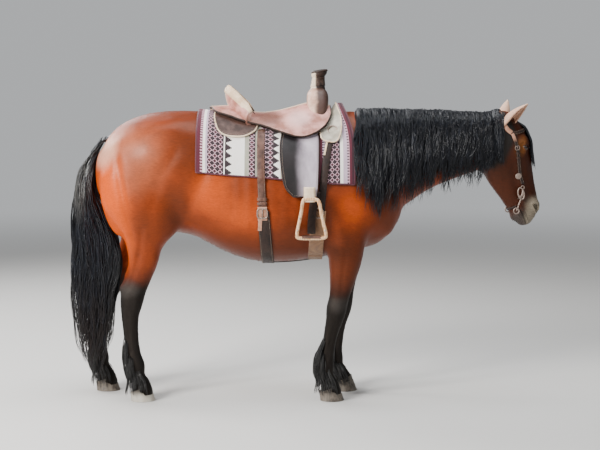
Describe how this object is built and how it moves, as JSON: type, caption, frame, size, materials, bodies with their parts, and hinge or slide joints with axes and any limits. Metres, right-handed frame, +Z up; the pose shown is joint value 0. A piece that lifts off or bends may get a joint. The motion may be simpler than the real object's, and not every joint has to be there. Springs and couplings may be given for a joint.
{
  "type": "saddled bay horse of the friesian type",
  "caption": "Life-size standing bay horse with black mane, tail and feathered legs, wearing a western saddle, striped blanket and bridle.",
  "frame": {"origin": "middle of the bounding box, on the floor under the hooves", "axes": "+X towards the horse's head, +Y towards its left side, +Z up"},
  "size_m": [2.5251, 0.8024, 1.7633],
  "materials": {
    "coat": "short glossy bay coat, shading to black on the face and legs",
    "hair": "long wavy black hair",
    "ear_coat": "short coat on the ears",
    "hoof_horn": "pale grey horn with growth rings",
    "eye": "dark wet eye",
    "wool": "woven wool with banded pattern",
    "tan_leather": "worn light leather",
    "dark_leather": "dark oiled leather",
    "stirrup_wood": "varnished bent wood",
    "cinch_cord": "tan cotton cords",
    "steel": "tarnished nickel"
  },
  "bodies": {
    "root": {"billet_left": "dark_leather", "billet_right": "dark_leather", "bit_left": "steel", "bit_right": "steel", "bridle_crown": "tan_leather", "browband": "dark_leather", "buckle_left": "steel", "buckle_right": "steel", "cheekpiece_left": "dark_leather", "cheekpiece_right": "dark_leather", "cinch_front": "cinch_cord", "cinch_rear": "dark_leather", "concho_left": "steel", "concho_right": "steel", "curb_strap": "dark_leather", "ear_left": "ear_coat", "ear_right": "ear_coat", "eye_left": "eye", "eye_right": "eye", "fender_left": "tan_leather", "fender_right": "tan_leather", "fore_hoof_left": "hoof_horn", "fore_hoof_right": "hoof_horn", "fore_leg_left": "coat", "fore_leg_right": "coat", "head": "coat", "hind_hoof_left": "hoof_horn", "hind_hoof_right": "hoof_horn", "hind_leg_left": "coat", "hind_leg_right": "coat", "latigo_left": "dark_leather", "latigo_right": "dark_leather", "neck": "coat", "rigging_ring_left": "steel", "rigging_ring_right": "steel", "saddle_blanket": "wool", "saddle_cantle": "tan_leather", "saddle_fork": "tan_leather", "saddle_horn": "tan_leather", "saddle_seat": "tan_leather", "saddle_skirt": "tan_leather", "stirrup_collar_left": "tan_leather", "stirrup_collar_right": "tan_leather", "stirrup_left": "stirrup_wood", "stirrup_right": "stirrup_wood", "tail": "hair", "torso": "coat"}
  },
  "joints": []
}
